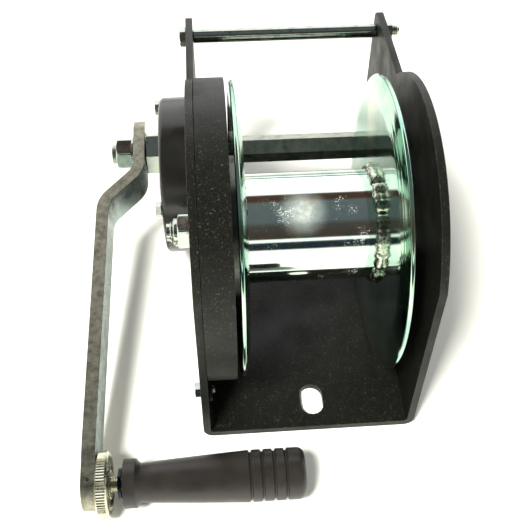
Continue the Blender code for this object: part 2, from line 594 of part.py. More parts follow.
# ---------------------------------------------------------------- drive shaft and brake
def make_drive_shaft(steel, nylon):
    shoulder = INSIDE - SHAFT_SHOULDER_GAP
    shaft = prism("drive_shaft", hexagon(HEX_FLATS, SHAFT, HEX_TURN), -shoulder, shoulder, steel)
    journal_end = HALF_WIDTH + JOURNAL_PROUD
    combine(shaft, rod("shaft_journals", ARM_RIGHT + GAP, journal_end, JOURNAL_RADIUS,
                       centre=SHAFT), "UNION")
    combine(shaft, rod("shaft_stub", crank_nut_end() - STUB_PROUD, 0, STUB_RADIUS, centre=SHAFT),
            "UNION")
    bore = JOURNAL_RADIUS + CLEARANCE
    for name, side in (("left", -1), ("right", 1)):
        outer = HALF_WIDTH + GAP
        profile = [(side * (INSIDE - GAP), bore), (side * (INSIDE - GAP), SHAFT_BUSH_RADIUS),
                   (side * outer, SHAFT_BUSH_RADIUS), (side * outer, BUSH_FLANGE_RADIUS),
                   (side * (outer + BUSH_FLANGE), BUSH_FLANGE_RADIUS),
                   (side * (outer + BUSH_FLANGE), bore)]
        turned(f"shaft_bush_{name}", profile, nylon, SHAFT)
    clip = HALF_WIDTH + GAP + BUSH_FLANGE + GAP
    ring("shaft_circlip", clip, clip + CIRCLIP, CIRCLIP_RADIUS, bore, steel, SHAFT)


def make_pinion(steel):
    left, right = GEAR_LEFT - PINION_PROUD, GEAR_RIGHT - PINION_INSET
    pinion = prism("pinion", gear_outline(PINION_TEETH, PINION_TIP, SHAFT,
                                          MESH_ANGLE + math.pi), left, right, steel)
    bore = hexagon(HEX_FLATS + 2 * CLEARANCE, SHAFT, HEX_TURN)
    combine(pinion, prism("pinion_bore", bore, left - 0.01, right + 0.01))


def brake_stack():
    """X of both faces of each brake piece, from the side plate outwards."""
    x = -HALF_WIDTH - GAP - BUSH_FLANGE - GAP
    faces = {}
    for name, thickness in (("pressure", PRESSURE_PLATE), ("inner", FRICTION_DISC),
                            ("ratchet", RATCHET_THICKNESS), ("outer", FRICTION_DISC),
                            ("hub", HUB_FLANGE)):
        faces[name] = (x, x - thickness)
        x -= thickness + GAP
    return faces


def make_brake(steel, lining):
    faces = brake_stack()
    bore = JOURNAL_RADIUS + CLEARANCE
    ring("brake_pressure_plate", *faces["pressure"], BRAKE_DISC_RADIUS, bore, steel, SHAFT, 24)
    ring("friction_disc_inner", *faces["inner"], BRAKE_DISC_RADIUS, bore, lining, SHAFT, 24)
    ring("friction_disc_outer", *faces["outer"], BRAKE_DISC_RADIUS, bore, lining, SHAFT, 24)
    teeth = []
    for i in range(RATCHET_TEETH):
        start = math.tau * i / RATCHET_TEETH
        gullet_start, gullet_end = (start + turn for turn in RATCHET_GULLET)
        teeth += arc(SHAFT, RATCHET_RADIUS, start, start + RATCHET_LAND, 1)
        teeth += arc(SHAFT, RATCHET_ROOT, gullet_start, gullet_end, 1)
    ratchet = prism("ratchet_wheel", teeth, *faces["ratchet"], steel)
    left, right = min(faces["ratchet"]), max(faces["ratchet"])
    combine(ratchet, rod("ratchet_bore", left - 0.01, right + 0.01, bore, centre=SHAFT))
    hub = prism("brake_hub", hexagon(HUB_FLATS, SHAFT, HUB_TURN), COVER_FACE - HUB_LENGTH,
                faces["hub"][0], steel)
    combine(hub, rod("brake_hub_flange", *faces["hub"], BRAKE_DISC_RADIUS, centre=SHAFT,
                     steps=24), "UNION")
    combine(hub, rod("brake_hub_bore", COVER_FACE - HUB_LENGTH - 0.01, faces["hub"][0] + 0.01,
                     bore, centre=SHAFT))


def make_pawl(steel, zinc, spring_steel):
    left, right = min(brake_stack()["ratchet"]), max(brake_stack()["ratchet"])
    pawl_left, pawl_right = left + GAP, right - GAP
    touch = RATCHET_RADIUS + PAWL_CLEARANCE
    tip_angle = PAWL_DIRECTION - math.acos((touch + PAWL_BOSS_RADIUS) / PAWL_REACH)
    tip = [SHAFT + r * Vector((math.cos(tip_angle), math.sin(tip_angle)))
           for r in (touch, touch + PAWL_TIP)]
    bm = bmesh.new()
    outline = arc(PAWL_PIVOT, PAWL_BOSS_RADIUS, 0, math.tau * 23 / 24, 23) + [tuple(t) for t in tip]
    for x in (pawl_left, pawl_right):
        for y, z in outline:
            bm.verts.new((x, y, z))
    hull = bmesh.ops.convex_hull(bm, input=bm.verts)
    bmesh.ops.delete(bm, geom=hull["geom_interior"], context="VERTS")
    pawl = add_object("pawl", bm, steel)
    bore = PAWL_PIN_RADIUS + CLEARANCE
    combine(pawl, rod("pawl_bore", pawl_left - 0.01, pawl_right + 0.01, bore, centre=PAWL_PIVOT))
    rod("pawl_pin", pawl_left - PAWL_PIN_PROUD, -INSIDE, PAWL_PIN_RADIUS, zinc, PAWL_PIVOT)
    ring("pawl_spacer", pawl_right + GAP, -HALF_WIDTH - GAP, PAWL_SPACER_RADIUS, bore, zinc,
         PAWL_PIVOT, 24)
    clip = pawl_left - GAP
    ring("pawl_clip", clip - PAWL_CLIP, clip, PAWL_CLIP_RADIUS, bore, zinc, PAWL_PIVOT, 24)
    make_pawl_spring(pawl_right, spring_steel)


def make_pawl_spring(pawl_right, spring_steel):
    """Torsion spring wound round the spacer, one leg out along each side."""
    wire = SPRING_WIRE
    radius = PAWL_SPACER_RADIUS + GAP + wire
    start, end = pawl_right + GAP + wire, -HALF_WIDTH - GAP - wire
    count = SPRING_TURNS * SPRING_POINTS
    points = []
    for i in range(count + 1):
        angle = math.tau * SPRING_TURNS * i / count
        points.append((start + (end - start) * i / count,
                       PAWL_PIVOT.x + radius * math.cos(angle),
                       PAWL_PIVOT.y + radius * math.sin(angle)))
    points.insert(0, (start, points[0][1], points[0][2] - SPRING_LEG))
    points.append((end, points[-1][1], points[-1][2] + SPRING_LEG))
    curve = bpy.data.curves.new("pawl_spring", "CURVE")
    curve.dimensions = "3D"
    curve.bevel_depth = wire
    curve.bevel_resolution = 1
    curve.use_fill_caps = True
    curve.render_resolution_u = 0
    spline = curve.splines.new("POLY")
    spline.points.add(len(points) - 1)
    for point, place in zip(spline.points, points):
        point.co = (*place, 1)
    curve.materials.append(spring_steel)
    bpy.context.scene.collection.objects.link(bpy.data.objects.new("pawl_spring", curve))


# ---------------------------------------------------------------- crank and grip
def crank_nut_end():
    return ARM_LEFT - GAP - CRANK_WASHER - GAP - CRANK_NUT


def arm_profile():
    """Side view of the joggled bar: (X, distance from the shaft), with rounded bends.

    Below the double bend the bar leans a little outwards and ends parallel to the shaft's face.
    """
    top = -CRANK_TOP - CRANK_WIDTH / 2
    bends = [(0, top), (0, JOGGLE_START), (CRANK_JOGGLE, JOGGLE_START + JOGGLE_RUN),
             (CRANK_JOGGLE + CRANK_LEAN, CRANK_RADIUS - LEAN_END)]
    straight = (CRANK_JOGGLE + CRANK_LEAN, CRANK_RADIUS + CRANK_WIDTH / 2)
    lag = CRANK_BAR * math.tan(math.atan2(CRANK_JOGGLE, JOGGLE_RUN) / 2)
    small, large = JOGGLE_BEND, JOGGLE_BEND + CRANK_BAR
    outer = [(ARM_LEFT - x, s) for x, s in bends]
    inner = [(ARM_RIGHT - x, s + lag if 0 < i < 3 else s) for i, (x, s) in enumerate(bends)]
    outer = rounded(outer, (small, large)) + [(ARM_LEFT - straight[0], straight[1])]
    inner = rounded(inner, (large, small)) + [(ARM_RIGHT - straight[0], straight[1])]
    return outer + inner[::-1]


def rounded(corners, radii, count=7):
    """Replace the two middle corners of a four-point line by arcs."""
    points = [Vector(c) for c in corners]
    line = [points[0]]
    for i, radius in enumerate(radii, 1):
        before = (points[i - 1] - points[i]).normalized()
        after = (points[i + 1] - points[i]).normalized()
        half = before.angle(after) / 2
        centre = points[i] + (before + after).normalized() * (radius / math.sin(half))
        first = points[i] + before * (radius / math.tan(half)) - centre
        last = points[i] + after * (radius / math.tan(half)) - centre
        for k in range(count + 1):
            way = first.lerp(last, k / count).normalized() * radius
            line.append(centre + way)
    return [tuple(p) for p in line + [points[3]]]


def make_crank(zinc, nut_zinc, dark):
    """Flat bar with a double bend and round ends, laid out along -Y and then turned down."""
    half = CRANK_WIDTH / 2
    place = (Matrix.Translation((0, SHAFT.x, SHAFT.y))
             @ Matrix.Rotation(CRANK_DROOP, 4, "X"))
    bm = bmesh.new()
    face = bm.faces.new([bm.verts.new((x, -s, -half)) for x, s in arm_profile()])
    side = bmesh.ops.extrude_face_region(bm, geom=[face])["geom"]
    moved = [v for v in side if isinstance(v, bmesh.types.BMVert)]
    bmesh.ops.translate(bm, vec=(0, 0, CRANK_WIDTH), verts=moved)
    bmesh.ops.transform(bm, matrix=place, verts=bm.verts)
    arm = add_object("crank_arm", bm, zinc)
    outline = (arc((CRANK_TOP, 0), half, -math.pi / 2, math.pi / 2, 14)
               + arc((-CRANK_RADIUS, 0), half, math.pi / 2, math.pi * 3 / 2, 14))
    turn = Matrix.Rotation(CRANK_DROOP, 2)
    outline = [tuple(SHAFT + turn @ Vector(p)) for p in outline]
    far_left = SPINDLE_FACE - CRANK_BAR - TRIM
    combine(arm, prism("arm_front_view", outline, far_left, ARM_RIGHT + TRIM), "INTERSECT")
    stub_bore = STUB_RADIUS + CLEARANCE
    combine(arm, rod("arm_shaft_hole", ARM_LEFT - 0.01, ARM_RIGHT + 0.01, stub_bore,
                     centre=SHAFT))
    combine(arm, rod("arm_spindle_hole", far_left, ARM_RIGHT, SPINDLE_RADIUS + CLEARANCE,
                     centre=SPINDLE))
    washer = ARM_LEFT - GAP
    ring("crank_washer", washer, washer - CRANK_WASHER, CRANK_WASHER_RADIUS, stub_bore,
         nut_zinc, SHAFT)
    nut("crank_nut", washer - CRANK_WASHER - GAP, crank_nut_end(), CRANK_NUT_FLATS, stub_bore,
        nut_zinc, SHAFT, math.radians(10))
    make_spindle(nut_zinc, dark)


def spindle_places():
    """X of the pieces on the grip spindle, from the bar's inner face."""
    face = SPINDLE_FACE
    nut_start = face + GAP
    nut_end = nut_start + KNURL_THICKNESS
    clip = nut_end + SPINDLE_THREAD
    grip = clip + SPINDLE_CLIP + GRIP_PLAY
    return face, nut_start, nut_end, clip, grip


def make_spindle(zinc, dark):
    face, nut_start, nut_end, clip, grip = spindle_places()
    outside = face - CRANK_BAR - GAP
    spindle = rod("grip_spindle", outside - RIVET_HEAD / 2, grip + GRIP_LENGTH - SPINDLE_SHORT,
                  SPINDLE_RADIUS, zinc, SPINDLE)
    combine(spindle, rod("spindle_rivet_head", outside - RIVET_HEAD, outside, RIVET_RADIUS,
                         centre=SPINDLE, chamfer=RIVET_CHAMFER), "UNION")
    bore = SPINDLE_RADIUS + CLEARANCE
    rim = KNURL_RADIUS - KNURL_RIM
    floor = nut_end - KNURL_RECESS
    turned("knurled_nut", [(nut_start, bore), (nut_start, KNURL_RADIUS), (nut_end, KNURL_RADIUS),
                           (nut_end, rim), (floor, rim - RECESS_TAPER), (floor, bore)],
           zinc, SPINDLE, 28)
    ring("spindle_washer", floor + GAP, nut_end + SPINDLE_WASHER_PROUD, SPINDLE_WASHER_RADIUS,
         bore, zinc, SPINDLE)
    ring("spindle_clip", clip, clip + SPINDLE_CLIP, SPINDLE_CLIP_RADIUS, bore, dark, SPINDLE)


def grip_profile():
    """Collar, narrow neck, long taper, four grooves and a rounded free end."""
    start = spindle_places()[4]
    end = start + GRIP_LENGTH
    bore = SPINDLE_RADIUS + CLEARANCE
    edge = GRIP_EDGE
    points = [(start, bore), (start, GRIP_COLLAR_RADIUS - edge),
              (start + edge, GRIP_COLLAR_RADIUS), (start + GRIP_COLLAR - edge, GRIP_COLLAR_RADIUS),
              (start + GRIP_COLLAR, GRIP_COLLAR_RADIUS - edge),
              (start + GRIP_COLLAR, GRIP_NECK_RADIUS)]
    last_groove = end - LAST_GROOVE
    first_groove = last_groove - (GROOVES - 1) * GROOVE_PITCH
    bottom = GRIP_RADIUS - GROOVE_DEPTH
    for i in range(GROOVES):
        x = first_groove + i * GROOVE_PITCH
        points += [(x - GROOVE_TOP / 2, GRIP_RADIUS), (x - GROOVE_BOTTOM / 2, bottom),
                   (x + GROOVE_BOTTOM / 2, bottom), (x + GROOVE_TOP / 2, GRIP_RADIUS)]
    points += arc((end - GRIP_END_RADIUS, GRIP_RADIUS - GRIP_END_RADIUS), GRIP_END_RADIUS,
                  math.pi / 2, 0, 4)
    seat = end - GRIP_CAP_DEPTH
    return points + [(end, GRIP_CAP_RADIUS), (seat, GRIP_CAP_RADIUS), (seat, bore)]


def make_grip(rubber, zinc):
    turned("grip", grip_profile(), rubber, SPINDLE, 24)
    end = spindle_places()[4] + GRIP_LENGTH
    rod("grip_end_cap", end - GRIP_CAP_DEPTH + GAP, end - GRIP_CAP_INSET, GRIP_CAP_RADIUS - GAP,
        rubber, SPINDLE, 20)


def build():
    clear_scene()
    paint = finish("black_powder_coat", (0.02, 0.02, 0.019), 0.55, 0.0)
    plastic = finish("black_cover_plastic", (0.018, 0.018, 0.019), 0.35, 0.0)
    rubber = finish("black_grip_plastic", (0.016, 0.015, 0.015), 0.6, 0.0)
    zinc = finish("zinc_plate", (0.62, 0.66, 0.68), 0.28, 1.0)
    bar_zinc = finish("crank_zinc", (0.55, 0.56, 0.55), 0.4, 1.0)
    steel = finish("dull_steel", (0.34, 0.34, 0.33), 0.5, 1.0)
    nylon = finish("white_nylon", (0.75, 0.74, 0.70), 0.45, 0.0)
    lining = finish("brake_lining", (0.12, 0.09, 0.07), 0.85, 0.0)
    make_frame(paint)
    make_gear_cover(paint)
    make_brake_cover(plastic)
    make_cover_screws(zinc)
    make_tie_rod(zinc)
    make_axle(zinc, nylon)
    make_drum(zinc, steel, nylon)
    make_drive_shaft(steel, nylon)
    make_pinion(steel)
    make_brake(steel, lining)
    make_pawl(steel, zinc, steel)
    make_crank(bar_zinc, zinc, paint)
    make_grip(rubber, zinc)


build()
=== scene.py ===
"""Looks of a boat trailer hand winch: black folded frame, zinc drum, braked shaft and crank.

Metres, +Z up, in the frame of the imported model.  X runs along the drum axle with the crank
on the -X side, and Y runs to the rear.
"""
import json
import math

import bmesh
import bpy
from mathutils import Matrix, Vector, noise

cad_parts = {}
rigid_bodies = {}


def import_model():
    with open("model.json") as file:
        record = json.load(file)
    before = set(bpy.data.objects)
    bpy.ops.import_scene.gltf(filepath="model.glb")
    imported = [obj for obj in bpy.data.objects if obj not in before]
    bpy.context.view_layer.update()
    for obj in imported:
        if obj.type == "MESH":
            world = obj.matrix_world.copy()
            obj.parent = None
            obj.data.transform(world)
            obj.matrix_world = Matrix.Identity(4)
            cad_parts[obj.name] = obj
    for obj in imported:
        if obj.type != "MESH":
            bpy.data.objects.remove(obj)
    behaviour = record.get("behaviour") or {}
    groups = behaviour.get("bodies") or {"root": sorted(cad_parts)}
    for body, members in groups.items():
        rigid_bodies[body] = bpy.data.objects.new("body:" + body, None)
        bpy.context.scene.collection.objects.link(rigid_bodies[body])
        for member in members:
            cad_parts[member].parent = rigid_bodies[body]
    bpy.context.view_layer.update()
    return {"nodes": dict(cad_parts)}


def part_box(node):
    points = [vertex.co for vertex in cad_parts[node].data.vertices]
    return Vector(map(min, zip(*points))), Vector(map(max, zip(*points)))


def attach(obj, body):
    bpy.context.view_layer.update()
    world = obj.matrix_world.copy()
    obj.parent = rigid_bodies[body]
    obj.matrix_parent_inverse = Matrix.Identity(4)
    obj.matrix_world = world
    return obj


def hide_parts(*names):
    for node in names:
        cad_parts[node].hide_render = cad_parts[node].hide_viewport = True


for leftover in list(bpy.data.objects):
    bpy.data.objects.remove(leftover, do_unlink=True)
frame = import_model()

MM = 0.001

# ---------------------------------------------------------------- camera and light
CAMERA_PLACE = Vector((-0.0471, -0.3137, 0.4025))
CAMERA_HEADING = math.radians(4.93)      # from straight along +Y, towards +X
CAMERA_DOWN = math.radians(47.69)
CAMERA_ROLL = math.radians(0.89)
LENS = 55.02                             # millimetres, on a 36 mm wide sensor
SENSOR = 36.0


# ---------------------------------------------------------------- places, from the CAD frame
def middle(node):
    """Centre of a CAD node as seen from the side, (Y, Z)."""
    low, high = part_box(node)
    return ((low.y + high.y) / 2, (low.z + high.z) / 2)


def ends(node):
    """Lowest and highest X of a CAD node."""
    low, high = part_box(node)
    return low.x, high.x


def radius_of(node):
    low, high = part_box(node)
    return (high.z - low.z) / 2


AXLE = middle("drum_tube")
SHAFT = middle("brake_pressure_plate")
SPINDLE = middle("spindle_clip")
TIE = middle("tie_sleeve")


# ---------------------------------------------------------------- materials
def linear(colour):
    """sRGB hex to linear RGBA."""
    parts = [int(colour[i:i + 2], 16) / 255 for i in (1, 3, 5)]
    return (*[c / 12.92 if c <= 0.04045 else ((c + 0.055) / 1.055) ** 2.4 for c in parts], 1)


def add(tree, kind, inputs=None, stops=None, **settings):
    """Add a node with its settings, input values or links, and colour stops."""
    node = tree.nodes.new("ShaderNode" + kind)
    for key, value in settings.items():
        setattr(node, key, value)
    for key, value in (inputs or {}).items():
        if isinstance(value, bpy.types.NodeSocket):
            tree.links.new(value, node.inputs[key])
        else:
            node.inputs[key].default_value = value
    for i, (place, colour) in enumerate(stops or []):
        element = node.color_ramp.elements[i] if i < 2 else node.color_ramp.elements.new(place)
        element.position = place
        element.color = linear(colour) if isinstance(colour, str) else (colour,) * 3 + (1,)
    return node


def pitch(millimetres):
    """Texture scale on object coordinates whose detail has this size."""
    return 1 / (millimetres * MM)


def new_material(name, colour, roughness, metallic=0.0, **sockets):
    mat = bpy.data.materials.new(name)
    mat.use_nodes = True
    shader = mat.node_tree.nodes["Principled BSDF"]
    values = {"Base Color": linear(colour), "Roughness": roughness, "Metallic": metallic}
    for key, value in {**values, **sockets}.items():
        shader.inputs[key].default_value = value
    place = add(mat.node_tree, "TexCoord").outputs["Object"]
    return mat, mat.node_tree, shader, place


def powder_coat(name, low, high, glint_colour, more_glints=0.0):
    """Textured black powder coat: a fine orange peel, pale specks painted in as glints of its
    highlights, a satin sheen.
    """
    mat, tree, shader, place = new_material(name, low, 0.5, **{"Specular IOR Level": 0.3})
    grit = add(tree, "TexNoise", {"Vector": place, "Scale": pitch(1.1), "Detail": 4.0,
                                  "Roughness": 0.65})
    glint_noise = add(tree, "TexNoise", {"Vector": place, "Scale": pitch(0.9), "Detail": 2.0})
    patch = add(tree, "TexNoise", {"Vector": place, "Scale": pitch(22), "Detail": 3.0})
    body = add(tree, "ValToRGB", {"Fac": grit.outputs["Fac"]}, [(0.36, low), (0.68, high)])
    # pale olive specks mixed into the base colour: painted glints standing in for highlights on the
    # orange peel
    painted_glints = add(tree, "ValToRGB", {"Fac": glint_noise.outputs["Fac"]},
                 [(0.62 - more_glints, 0.0), (0.74 - more_glints, 0.75)])
    mixed = add(tree, "Mix", {"Factor": painted_glints.outputs["Color"], "A": body.outputs["Color"],
                              "B": linear(glint_colour)}, data_type="RGBA")
    tree.links.new(mixed.outputs["Result"], shader.inputs["Base Color"])
    gloss = add(tree, "MapRange", {"Value": patch.outputs["Fac"], "From Min": 0.35,
                                   "From Max": 0.65, "To Min": 0.38, "To Max": 0.58})
    tree.links.new(gloss.outputs["Result"], shader.inputs["Roughness"])
    bump = add(tree, "Bump", {"Height": grit.outputs["Fac"], "Strength": 0.35,
                              "Distance": 0.12 * MM})
    tree.links.new(bump.outputs["Normal"], shader.inputs["Normal"])
    return mat


def moulded(name, low, high, rough, grain, depth):
    """Moulded plastic: an even dark colour with a faint grain and handling marks."""
    mat, tree, shader, place = new_material(name, low, rough)
    fine = add(tree, "TexNoise", {"Vector": place, "Scale": pitch(grain), "Detail": 3.0})
    broad = add(tree, "TexNoise", {"Vector": place, "Scale": pitch(14), "Detail": 4.0})
    colour = add(tree, "ValToRGB", {"Fac": broad.outputs["Fac"]}, [(0.35, low), (0.7, high)])
    tree.links.new(colour.outputs["Color"], shader.inputs["Base Color"])
    gloss = add(tree, "MapRange", {"Value": broad.outputs["Fac"], "From Min": 0.3,
                                   "From Max": 0.7, "To Min": rough - 0.07,
                                   "To Max": rough + 0.09})
    tree.links.new(gloss.outputs["Result"], shader.inputs["Roughness"])
    bump = add(tree, "Bump", {"Height": fine.outputs["Fac"], "Strength": 0.4,
                              "Distance": depth * MM})
    tree.links.new(bump.outputs["Normal"], shader.inputs["Normal"])
    return mat


def zinc(name, cool, warm, dark, shine, cloud, grain, scratch=None, dents=0.0, depth=0.12):
    """Zinc plate: clouds of cool and warm silver, dull patches and fine marks.

    cloud and grain are sizes in millimetres, shine the roughness of bright and dull parts,
    scratch stretches the fine marks round the X axle, and depth is how dark the marks are.
    """
    mat, tree, shader, place = new_material(name, cool, shine[0], 1.0)
    clouds = add(tree, "TexNoise", {"Vector": place, "Scale": pitch(cloud), "Detail": 5.0,
                                    "Roughness": 0.6})
    marks = place
    if scratch:
        marks = add(tree, "Mapping", {"Vector": place, "Scale": (1, scratch, scratch)})
        marks = marks.outputs["Vector"]
    fine = add(tree, "TexNoise", {"Vector": marks, "Scale": pitch(grain), "Detail": 3.0,
                                  "Roughness": 0.7})
    tone = add(tree, "ValToRGB", {"Fac": clouds.outputs["Fac"]},
               [(0.32, dark), (0.46, cool), (0.66, warm)])
    worn = add(tree, "ValToRGB", {"Fac": fine.outputs["Fac"]}, [(0.33, 1 - 2 * depth), (0.52, 1.0)])
    mixed = add(tree, "Mix", {"Factor": 0.6, "A": tone.outputs["Color"],
                              "B": worn.outputs["Color"]}, data_type="RGBA",
                blend_type="MULTIPLY")
    tree.links.new(mixed.outputs["Result"], shader.inputs["Base Color"])
    gloss = add(tree, "MapRange", {"Value": clouds.outputs["Fac"], "From Min": 0.35,
                                   "From Max": 0.68, "To Min": shine[0], "To Max": shine[1]})
    tree.links.new(gloss.outputs["Result"], shader.inputs["Roughness"])
    bump = add(tree, "Bump", {"Height": fine.outputs["Fac"], "Strength": 0.3,
                              "Distance": (0.006 + dents) * MM})
    tree.links.new(bump.outputs["Normal"], shader.inputs["Normal"])
    return mat


# powder coat on the frame and gear cover: near black, with pale specks painted into its texture as
# glints
COAT = powder_coat("black_powder_coat", "#0b0b09", "#171713", "#4a4940")
# the same coat thinned and rubbed along edges: greyer, with more of the painted glint specks
COAT_EDGE = powder_coat("rubbed_powder_coat", "#1a1a16", "#302f28", "#6d6b5e", 0.03)
# injection moulded ABS: smoother and glossier than the coat beside it
MOULDING = moulded("black_abs_moulding", "#12110f", "#1b1a17", 0.24, 1.2, 0.01)
# dip moulded PVC: matt, warm and slightly brown
GRIP = moulded("black_pvc_grip", "#1b1816", "#27231f", 0.42, 0.9, 0.04)
# bright zinc on the pressed flanges: a soft mirror with broad minty clouds
FLANGE_ZINC = zinc("minty_zinc_sheet", "#a3c9b7", "#d2ddc6", "#7faa9b", (0.06, 0.16), 42, 1.4,
                   scratch=0.1, depth=0.05)
# the same plate on the drum tube: finer lines round it, pale scratches, and a white glare painted
# on its top front
TUBE_ZINC = zinc("zinc_tube_painted_glare", "#cfdfd8", "#dfe4d6", "#c2d0cc", (0.05, 0.09), 18, 1.0,
                 scratch=0.06, depth=0.02)
# zinc on rolled bar: smoother wide faces, cool grey
BAR = zinc("satin_zinc_bar", "#9fb0ad", "#b4bdb3", "#8b9b9a", (0.22, 0.32), 9, 0.8, depth=0.06)
# the bar's sheared edges: granular, brownish, with bright torn specks
BAR_EDGE = zinc("sheared_zinc_edge", "#a4a292", "#c2bfab", "#85826f", (0.5, 0.6), 3.5, 0.6,
                dents=0.05, depth=0.16)
# bright zinc on cold-formed bolts and nuts
HARDWARE = zinc("zinc_bolts", "#b4bfb7", "#c4c3b4", "#98a29c", (0.1, 0.2), 5, 0.7)
# yellowish zinc on the knurled nut and the spindle
KNURL_ZINC = zinc("knurled_zinc", "#cbc9b4", "#dcd8c2", "#adab96", (0.2, 0.32), 4, 0.7)
# dull zinc on the drawn hexagon bar: mottled patches of light and dark grey
MOTTLED = zinc("mottled_zinc_shaft", "#a9aea2", "#c2c3b2", "#8b9087", (0.36, 0.5), 6, 1.2,
               dents=0.01, depth=0.12)
# plain machined steel with a film of oil: grey and dull
STEEL = zinc("oiled_steel", "#8c8c88", "#9d9b92", "#6a6a68", (0.3, 0.45), 6, 0.8)
# weld metal under zinc: lumpy, bright on its tops
WELD = zinc("zinc_over_weld", "#b9c1b3", "#e2e0cc", "#66655a", (0.1, 0.3), 2.4, 0.9, dents=0.16,
            depth=0.42)
# phosphated spring clip: nearly black with a steel gleam
CLIP = zinc("phosphated_clip", "#2b2e33", "#3a3d40", "#1d1f22", (0.25, 0.38), 3, 0.8)


def nylon_material():
    """Turned nylon: milky, slightly translucent, with faint turning marks."""
    mat, tree, shader, place = new_material("white_nylon", "#d9d6ca", 0.42)
    shader.inputs["Subsurface Weight"].default_value = 0.15
    shader.inputs["Subsurface Scale"].default_value = 1.2 * MM
    fine = add(tree, "TexNoise", {"Vector": place, "Scale": pitch(1.5), "Detail": 3.0})
    colour = add(tree, "ValToRGB", {"Fac": fine.outputs["Fac"]},
                 [(0.35, "#cbc8bb"), (0.65, "#e2dfd4")])
    tree.links.new(colour.outputs["Color"], shader.inputs["Base Color"])
    bump = add(tree, "Bump", {"Height": fine.outputs["Fac"], "Strength": 0.2,
                              "Distance": 0.02 * MM})
    tree.links.new(bump.outputs["Normal"], shader.inputs["Normal"])
    return mat


def lining_material():
    """Pressed friction lining: matt brown with short fibres and brass flecks."""
    mat, tree, shader, place = new_material("brake_lining", "#3f3128", 0.85)
    fibre = add(tree, "TexNoise", {"Vector": place, "Scale": pitch(0.8), "Detail": 4.0})
    colour = add(tree, "ValToRGB", {"Fac": fibre.outputs["Fac"]},
                 [(0.35, "#2c221c"), (0.6, "#4d3c30"), (0.74, "#8a744e")])
    tree.links.new(colour.outputs["Color"], shader.inputs["Base Color"])
    bump = add(tree, "Bump", {"Height": fibre.outputs["Fac"], "Strength": 0.5,
                              "Distance": 0.08 * MM})
    tree.links.new(bump.outputs["Normal"], shader.inputs["Normal"])
    return mat


def scratches_and_painted_glare(mat, glare_spot, reach):
    """Scatter tiny pale scratches over a metal, and paint a white glare round one spot: a painted
    highlight, made diffuse there.
    """
    tree = mat.node_tree
    shader = tree.nodes["Principled BSDF"]
    colour = shader.inputs["Base Color"].links[0].from_socket
    place = add(tree, "TexCoord").outputs["Object"]
    # a white haze round the spot, fading out over reach: a painted highlight standing in for a soft
    # glare
    far = add(tree, "VectorMath", {0: place, 1: glare_spot}, operation="DISTANCE")
    painted_glare_falloff = add(tree, "MapRange", {"Value": far.outputs["Value"], "From Min": 0.0,
                                  "From Max": reach, "To Min": 0.8, "To Max": 0.0},
               interpolation_type="SMOOTHSTEP")
    cloud = add(tree, "TexNoise", {"Vector": place, "Scale": pitch(5), "Detail": 6.0,
                                   "Roughness": 0.7})
    patch = add(tree, "Math", {0: painted_glare_falloff.outputs["Result"], 1: cloud.outputs["Fac"]},
                operation="MULTIPLY")
    fleck = add(tree, "TexNoise", {"Vector": place, "Scale": pitch(0.7), "Detail": 2.0})
    broad = add(tree, "TexNoise", {"Vector": place, "Scale": pitch(12), "Detail": 2.0})
    both = add(tree, "Math", {0: fleck.outputs["Fac"], 1: broad.outputs["Fac"]},
               operation="MULTIPLY")
    flecks = add(tree, "ValToRGB", {"Fac": both.outputs["Value"]}, [(0.37, 0.0), (0.44, 0.5)])
    # the larger of the painted glare and the real scratch flecks
    flecks_and_glare = add(tree, "Math", {0: patch.outputs["Value"], 1: flecks.outputs["Color"]},
               operation="MAXIMUM")
    mixed = add(tree, "Mix", {"Factor": flecks_and_glare.outputs["Value"], "A": colour,
                              "B": linear("#e8ebe6")}, data_type="RGBA")
    tree.links.new(mixed.outputs["Result"], shader.inputs["Base Color"])
    metal = add(tree, "Math", {0: 1.0, 1: flecks_and_glare.outputs["Value"]}, operation="SUBTRACT")
    tree.links.new(metal.outputs["Value"], shader.inputs["Metallic"])


NYLON = nylon_material()
LINING = lining_material()


# ---------------------------------------------------------------- making pieces
def turned(bm, profile, centre, steps=96, closed=True):
    """Spin an (X, radius) profile about an axle along X and return its vertices."""
    verts = [bm.verts.new((x, centre[0] + r, centre[1])) for x, r in profile]
    last = verts[:1] if closed else []
    edges = [bm.edges.new(pair) for pair in zip(verts, verts[1:] + last)]
    before = set(bm.verts) - set(verts)
    bmesh.ops.spin(bm, geom=verts + edges, cent=(0, *centre), axis=(1, 0, 0), angle=math.tau,
                   steps=steps, use_merge=True)
    return [v for v in bm.verts if v not in before]


def hexed(verts, centre, flats, turn):
    """Cut round stock down to a hexagon with a corner at this turn."""
    for v in verts:
        y, z = v.co.y - centre[0], v.co.z - centre[1]
        sixth = math.radians(60)
        off = (math.atan2(z, y) - turn) % sixth - sixth / 2
        reach = math.hypot(y, z)
        limit = flats / 2 / math.cos(off)
        if reach > limit:
            v.co.y = centre[0] + y * limit / reach
            v.co.z = centre[1] + z * limit / reach


def piece(name, bm, mats, body, stands_for, edge=0.0, segments=2, crease=35,
          edge_mat=-1):
    """Close a bmesh into a piece that rides on a body and stands for a CAD node."""
    bmesh.ops.remove_doubles(bm, verts=bm.verts, dist=1e-6)
    bmesh.ops.recalc_face_normals(bm, faces=bm.faces)
    mesh = bpy.data.meshes.new(name)
    bm.to_mesh(mesh)
    bm.free()
    mesh.shade_smooth()
    mesh.set_sharp_from_angle(angle=math.radians(crease))
    for mat in mats if isinstance(mats, (list, tuple)) else [mats]:
        mesh.materials.append(mat)
    obj = bpy.data.objects.new(name, mesh)
    bpy.context.scene.collection.objects.link(obj)
    if edge:
        rounding = obj.modifiers.new("rounded_edges", "BEVEL")
        rounding.width = edge
        rounding.segments = segments
        rounding.limit_method = "ANGLE"
        rounding.angle_limit = math.radians(crease)
        rounding.harden_normals = True
        rounding.material = edge_mat
    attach(obj, body)
    if stands_for:
        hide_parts(stands_for)
    return obj


